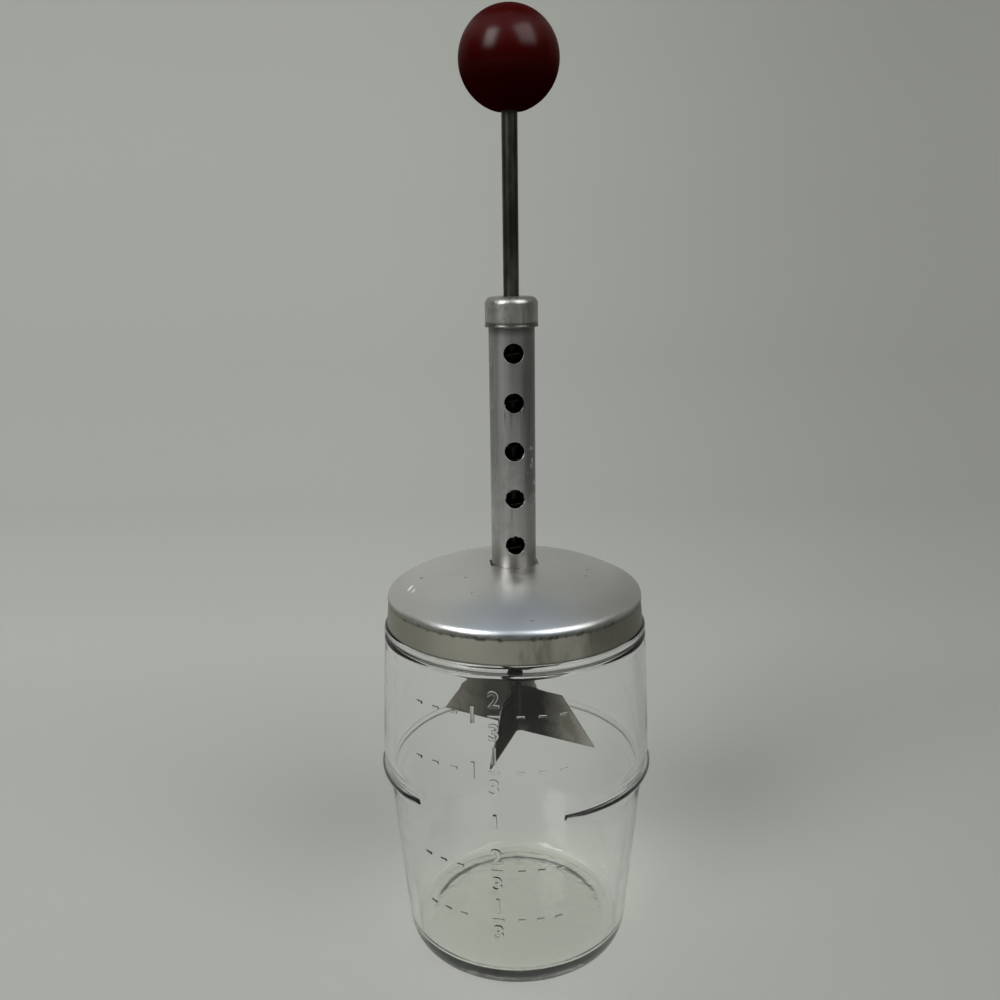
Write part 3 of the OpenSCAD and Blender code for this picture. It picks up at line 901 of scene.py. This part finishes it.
def make_lid():
    """Domed lid with a curled edge, a bore for the rod and two slots for the tube's tabs."""
    outer = lid_surface(0)
    inner = lid_surface(LID_WALL)[::-1]
    edge_x, edge_z = outer[-1]
    outer[-1] = (edge_x, edge_z + 0.25)
    curl = [(edge_x - 0.06, edge_z + 0.08), (edge_x - 0.25, edge_z), (edge_x - 0.5, edge_z + 0.03)]
    inner[0] = (inner[0][0], edge_z + 0.2)
    bore = [(RUN_R, CROWN_Z - LID_WALL), (RUN_R, CROWN_Z)]
    lid = turn_on_lathe("lid_dome", bore + outer + curl + inner + bore[:1], LID_STEPS)
    for side in (0, 180):
        combine(lid, slot_cutter(side), "DIFFERENCE")
    smooth(lid, 30)
    hand_over(lid, lid_finish(), "lid", "lid_aluminium", "lid")


# Slot for a tab: where it begins from the axis, how far it goes past the tube, its length and the cut's depth
SLOT_IN = 4.97
SLOT_PAST = 0.6
SLOT_LONG = 7.0
SLOT_DEEP = 3.0


def slot_cutter(side):
    """Block that cuts one slot for a tab of the tube."""
    start(bpy.ops.mesh.primitive_cube_add, size=MM)
    outer = TUBE_R + SLOT_PAST
    bpy.ops.transform.resize(value=(outer - SLOT_IN, SLOT_LONG, SLOT_DEEP), center_override=(0, 0, 0))
    pick("EDGE", lambda e: abs((e.verts[0].co - e.verts[1].co).z) > MM)
    bpy.ops.mesh.bevel(offset=0.4 * MM, segments=4, affect="EDGES")
    bpy.ops.mesh.select_all(action="SELECT")
    bpy.ops.transform.translate(value=((SLOT_IN + outer) / 2 * MM, 0, CROWN_Z * MM))
    turn_piece(side + TUBE_TURN)
    return leave("slot_cutter")


# Tube: its holes with their punch, the play of the rim test about their radius, and the rims' rounding
HOLE_R = 2.95
HOLE_CUT = 10
HOLE_TAPER = 1.02
HOLE_Z = [CROWN_Z + 7.5 + 14.8 * i for i in range(5)]
RIM_R = 2.97
RIM_PLAY = 0.08
RIM_ROUND = 0.24
TUBE_STEPS = 180


def make_tube():
    """Tube with five holes down its front and two tabs at its foot."""
    rows = [CROWN_Z + 0.1 + (TUBE_TOP_Z - CROWN_Z - 0.2) * i / 40 for i in range(41)]
    outline = ([(TUBE_IR + 0.1, CROWN_Z), (TUBE_R - 0.1, CROWN_Z)]
               + [(TUBE_R, z) for z in rows]
               + [(TUBE_R - 0.1, TUBE_TOP_Z), (TUBE_IR + 0.1, TUBE_TOP_Z)]
               + [(TUBE_IR, z) for z in rows[::-1]])
    tube = turn_on_lathe("tube_drawn", outline + outline[:1], TUBE_STEPS)
    for z in HOLE_Z:
        combine(tube, hole_cutter(z), "DIFFERENCE")
    round_rims(tube)
    for side in (0, 180):
        combine(tube, foot_tab(side), "UNION")
    smooth(tube, 30)
    hand_over(tube, tube_finish(), "lid", "tube_aluminium", "guide_tube")


def hole_cutter(z):
    """Round punch for one hole in the tube's front."""
    start(bpy.ops.mesh.primitive_cylinder_add, vertices=48, radius=HOLE_R * MM, depth=HOLE_CUT * MM)
    pick("FACE", lambda f: f.normal.z > 0.9)
    bpy.ops.transform.resize(value=(HOLE_TAPER, HOLE_TAPER, 1), center_override=(0, 0, 0))
    bpy.ops.mesh.select_all(action="SELECT")
    bpy.ops.transform.rotate(value=math.radians(90), orient_axis="X", center_override=(0, 0, 0))
    bpy.ops.transform.translate(value=(0, -6 * MM, z * MM))
    turn_piece(TUBE_TURN)
    return leave("hole_cutter")


def on_rim(place):
    """Whether a place in millimetres lies on the outer rim of a hole in the tube."""
    turn = math.radians(TUBE_TURN)
    across = place.x * math.cos(turn) + place.y * math.sin(turn)
    ahead = place.x * math.sin(turn) - place.y * math.cos(turn)
    near = any(abs(math.hypot(across, place.z - z) - RIM_R) < RIM_PLAY for z in HOLE_Z)
    return near and ahead > 0 and place.xy.length > TUBE_R - 0.02


def round_rims(tube):
    """Round the outer rims of the punched holes."""
    enter(tube)
    pick("EDGE", lambda e: all(on_rim(v.co / MM) for v in e.verts))
    bpy.ops.mesh.bevel(offset=RIM_ROUND * MM, segments=3, affect="EDGES")
    leave("tube_drawn")


# Tab: half its width in degrees round the tube, its bent end's length, its sheet, and a thinner sheet
# for the union, whose faces then lie inside the tube's wall
TAB_HALF = 26.0
TAB_LONG = 3.0
TAB_SHEET = 0.8
TAB_INSIDE = 0.76


def foot_tab(side):
    """Tab at the tube's foot that goes through the lid and is bent outwards under it."""
    low = CROWN_Z - LID_WALL - FIT - TAB_SHEET
    middle = (TUBE_R + TUBE_IR) / 2
    draw_line([(middle, low + 0.4), (middle, low + 1.4), (middle, low + 2.4)])
    bpy.ops.mesh.select_all(action="SELECT")
    turn_piece(-TAB_HALF)
    bpy.ops.mesh.spin(steps=16, angle=math.radians(2 * TAB_HALF), center=(0, 0, 0), axis=(0, 0, 1))
    tidy_mesh()
    pick("VERT", lambda v: v.co.z < (low + 0.5) * MM)
    bpy.ops.mesh.extrude_region_move(TRANSFORM_OT_translate={"value": (TAB_LONG * MM, 0, 0)})
    bpy.ops.transform.resize(value=(0, 1, 1), center_override=((TUBE_R + TAB_LONG + 0.1) * MM, 0, 0))
    bpy.ops.mesh.select_all(action="SELECT")
    turn_piece(side + TUBE_TURN)
    tab = leave("foot_tab")
    finish_with(tab, "SOLIDIFY", thickness=TAB_INSIDE * MM, offset=0.0, use_even_offset=True)
    return tab


# Cap: depth, outer and inner radius, rounding of its top edge and thickness of its top
CAP_DEPTH = 9.0
CAP_R = 7.98
CAP_IR = TUBE_R + FIT
CAP_ROUND = 2.2
CAP_TOP = 1.0


def make_cap():
    """Cap over the tube's top, with a bore for the rod and a small lip at its lower edge."""
    low = CAP_TOP_Z - CAP_DEPTH
    lip = [(CAP_IR, low + 0.05), (7.5, low), (7.95, low + 0.05), (8.12, low + 0.25), (8.1, low + 0.5),
           (8.0, low + 0.75)]
    side = [(CAP_R, low + 0.9 + (CAP_TOP_Z - CAP_ROUND - low - 0.9) * i / 8) for i in range(8)]
    edge = arc(CAP_R - CAP_ROUND, CAP_TOP_Z - CAP_ROUND, CAP_ROUND, 0, 90, 14)
    bore = [(RUN_R + 0.15, CAP_TOP_Z), (RUN_R, CAP_TOP_Z - 0.15), (RUN_R, CAP_TOP_Z - CAP_TOP)]
    outline = lip + side + edge + bore + [(CAP_IR, CAP_TOP_Z - CAP_TOP)]
    cap = turn_on_lathe("cap_drawn", outline + outline[:1])
    smooth(cap, 35)
    hand_over(cap, tube_finish(), "lid", "tube_aluminium", "tube_cap")


# Rod, pin and knob: the rod's rounded ends and its end above the blades' edge, the pin, the ball
ROD_ROUND = 0.5
ROD_ABOVE_EDGE = 1.6
PIN_R = 0.8
PIN_LONG = 9
KNOB_R = 14.45
KNOB_Z = 277.18
SOCKET = 18.0


def make_rod():
    """Round rod from the blades up into the knob."""
    low = EDGE_Z + ROD_ABOVE_EDGE
    top = KNOB_LOW_Z + SOCKET - FIT
    shank = [(ROD_R, low + ROD_ROUND + (top - low - 2 * ROD_ROUND) * i / 24) for i in range(25)]
    outline = [(0, low), (ROD_R - ROD_ROUND, low)] + shank + [(ROD_R - ROD_ROUND, top), (0, top)]
    rod = turn_on_lathe("rod_bar", outline, 64)
    smooth(rod, 35)
    hand_over(rod, rod_finish(), "plunger", "rod_steel", "plunger_rod")


def make_pin():
    """Cross pin in the rod, above the washer."""
    start(bpy.ops.mesh.primitive_cylinder_add, vertices=32, radius=PIN_R * MM, depth=PIN_LONG * MM)
    pick("FACE", lambda f: abs(f.normal.z) > 0.9)
    bpy.ops.mesh.bevel(offset=0.2 * MM, segments=2, affect="EDGES")
    bpy.ops.mesh.select_all(action="SELECT")
    bpy.ops.transform.rotate(value=math.radians(90), orient_axis="Y", center_override=(0, 0, 0))
    bpy.ops.transform.translate(value=(0, 0, PIN_Z * MM))
    pin = leave("pin_bar")
    smooth(pin, 35)
    hand_over(pin, rod_finish(), "plunger", "rod_steel", "stop_pin")


def make_knob():
    """Ball with a flat underside and a socket for the rod."""
    flat_x = math.sqrt(KNOB_R * KNOB_R - (KNOB_Z - KNOB_LOW_Z) ** 2)
    start_angle = math.degrees(math.asin((KNOB_LOW_Z - KNOB_Z) / KNOB_R)) + 1.5
    ball = arc(0, KNOB_Z, KNOB_R, start_angle, 90, 60)
    ball[-1] = (0, KNOB_Z + KNOB_R)
    hole = ROD_R + FIT
    socket = [(0, KNOB_LOW_Z + SOCKET), (hole, KNOB_LOW_Z + SOCKET), (hole, KNOB_LOW_Z + 0.3),
              (hole + 0.3, KNOB_LOW_Z)]
    knob = turn_on_lathe("knob_ball", socket + [(flat_x - 0.35, KNOB_LOW_Z)] + ball, 96)
    smooth(knob, 30)
    hand_over(knob, knob_finish(), "plunger", "knob_paint", "knob")


# Blades: half the angle of the V in degrees, sheet, bend, height, and a wing's reach at its lower edge
# and how much of it the slanted end takes off at the top
V_HALF = 39.5
BLADE_SHEET = 0.6
BEND_R = 1.5
BLADE_H = 15.5
WING_LONG = 29.2
WING_SLANT = 9.2
GROUND_SHARE = 0.5


def blade_path(way):
    """Middle line of the bent strip seen from above, with the V opening in a direction in radians."""
    half = math.radians(V_HALF)
    bend_x = ROD_R + FIT + BLADE_SHEET / 2 + BEND_R
    off = BEND_R - bend_x * math.sin(half)
    wing = [(s * math.cos(half) - off * math.sin(half), s * math.sin(half) + off * math.cos(half))
            for s in spaced(WING_LONG, bend_x * math.cos(half), 10)]
    bend = [(bend_x + x, y) for x, y in arc(0, 0, BEND_R, 270 - V_HALF, 90 + V_HALF, 10)[1:-1]]
    path = [(x, -y) for x, y in wing] + bend + wing[::-1]
    return [(x * math.cos(way) - y * math.sin(way), x * math.sin(way) + y * math.cos(way)) for x, y in path]


def make_blade(name, turn, node):
    """A strip bent to a V round the rod, with slanted ends and a ground lower edge."""
    top = EDGE_Z + BLADE_H
    way = math.radians(turn - 90)
    path = blade_path(way)
    draw_line([(0, EDGE_Z), (0, EDGE_Z + 1.6), (0, EDGE_Z + 6), (0, top - 4), (0, top)])
    bpy.ops.mesh.select_all(action="SELECT")
    bpy.ops.transform.translate(value=(path[0][0] * MM, path[0][1] * MM, 0))
    for (x0, y0), (x1, y1) in zip(path, path[1:]):
        step = ((x1 - x0) * MM, (y1 - y0) * MM, 0)
        bpy.ops.mesh.extrude_region_move(TRANSFORM_OT_translate={"value": step})
    for side in (-1, 1):
        a = way + side * math.radians(V_HALF)
        out = (math.cos(a), math.sin(a))
        bpy.ops.mesh.select_all(action="SELECT")
        bpy.ops.mesh.bisect(
            plane_co=(WING_LONG * out[0] * MM, WING_LONG * out[1] * MM, EDGE_Z * MM),
            plane_no=(BLADE_H * out[0], BLADE_H * out[1], WING_SLANT), clear_outer=True)
    tidy_mesh()
    blade = leave(name)
    group = blade.vertex_groups.new(name="sheet")
    for vertex in blade.data.vertices:
        ground = vertex.co.z < (EDGE_Z + 0.1) * MM
        group.add([vertex.index], GROUND_SHARE if ground else 1.0, "REPLACE")
    finish_with(blade, "SOLIDIFY", thickness=BLADE_SHEET * MM, offset=0.0, use_even_offset=True,
                vertex_group="sheet", thickness_vertex_group=0.0)
    finish_with(blade, "BEVEL", width=0.08 * MM, segments=2, limit_method="ANGLE",
                angle_limit=math.radians(60))
    smooth(blade, 35)
    hand_over(blade, blade_finish(), "plunger", "blade_steel", node)


# Washer: heights of its faces, radius and rounding
WASHER_LOW_Z = 207.33
WASHER_TOP_Z = 208.33
WASHER_R = 5.9
WASHER_ROUND = 0.12


def make_washer():
    """Seat for the spring's upper end."""
    low = WASHER_LOW_Z
    top = WASHER_TOP_Z
    cut = WASHER_ROUND
    outline = [(RUN_R, low + cut), (RUN_R + cut, low), (WASHER_R - cut, low), (WASHER_R, low + cut),
               (WASHER_R, top - cut), (WASHER_R - cut, top), (RUN_R + cut, top), (RUN_R, top - cut)]
    washer = turn_on_lathe("washer_ring", outline + outline[:1], 96)
    smooth(washer, 50)
    hand_over(washer, spring_finish(), "spring_seat", "spring_steel", "spring_washer")


# Spring: radii of coil and wire, gap under it, rise of the wire's middle and of an end turn, turns
SPRING_R = 4.7
WIRE_R = 0.6
SPRING_FOOT = 0.2
SPRING_RISE = 77.63
END_RISE = 1.8
TURNS = 18
STEPS_A_TURN = 24


def make_spring():
    """Wire wound round the rod: close end turns, open turns between them."""
    low = CROWN_Z + SPRING_FOOT + WIRE_R
    open_rise = (SPRING_RISE - 2 * END_RISE) / (TURNS - 2)
    step = 2 * math.pi / STEPS_A_TURN
    start(bpy.ops.mesh.primitive_circle_add, vertices=12, radius=WIRE_R * MM, fill_type="NGON")
    bpy.ops.transform.rotate(value=math.radians(90), orient_axis="X", center_override=(0, 0, 0))
    bpy.ops.transform.translate(value=(SPRING_R * MM, 0, low * MM))
    for i in range(TURNS * STEPS_A_TURN):
        turn = i / STEPS_A_TURN
        climb = (END_RISE if turn < 1 or turn >= TURNS - 1 else open_rise) / STEPS_A_TURN
        bpy.ops.mesh.extrude_region_move(TRANSFORM_OT_translate={"value": (0, 0, climb * MM)})
        bpy.ops.transform.rotate(value=-step, orient_axis="Z", center_override=(0, 0, 0))
    tidy_mesh()
    spring = leave("spring_wire")
    smooth(spring, 50)
    hand_over(spring, spring_finish(), "lid", "spring_steel", "return_spring")
    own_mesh(spring)


# Colours as written, and light paths long enough to pass both walls of the jar
bpy.context.scene.view_settings.view_transform = "Standard"
bpy.context.scene.cycles.max_bounces = 32
bpy.context.scene.cycles.transmission_bounces = 32
set_camera()
set_world()
lay_backdrop()
make_jar()
make_lid()
make_tube()
make_cap()
make_rod()
make_knob()
make_pin()
make_washer()
make_spring()
make_blade("blade_front", 22, "front_blade")
make_blade("blade_rear", 202, "rear_blade")

bpy.context.view_layer.update()
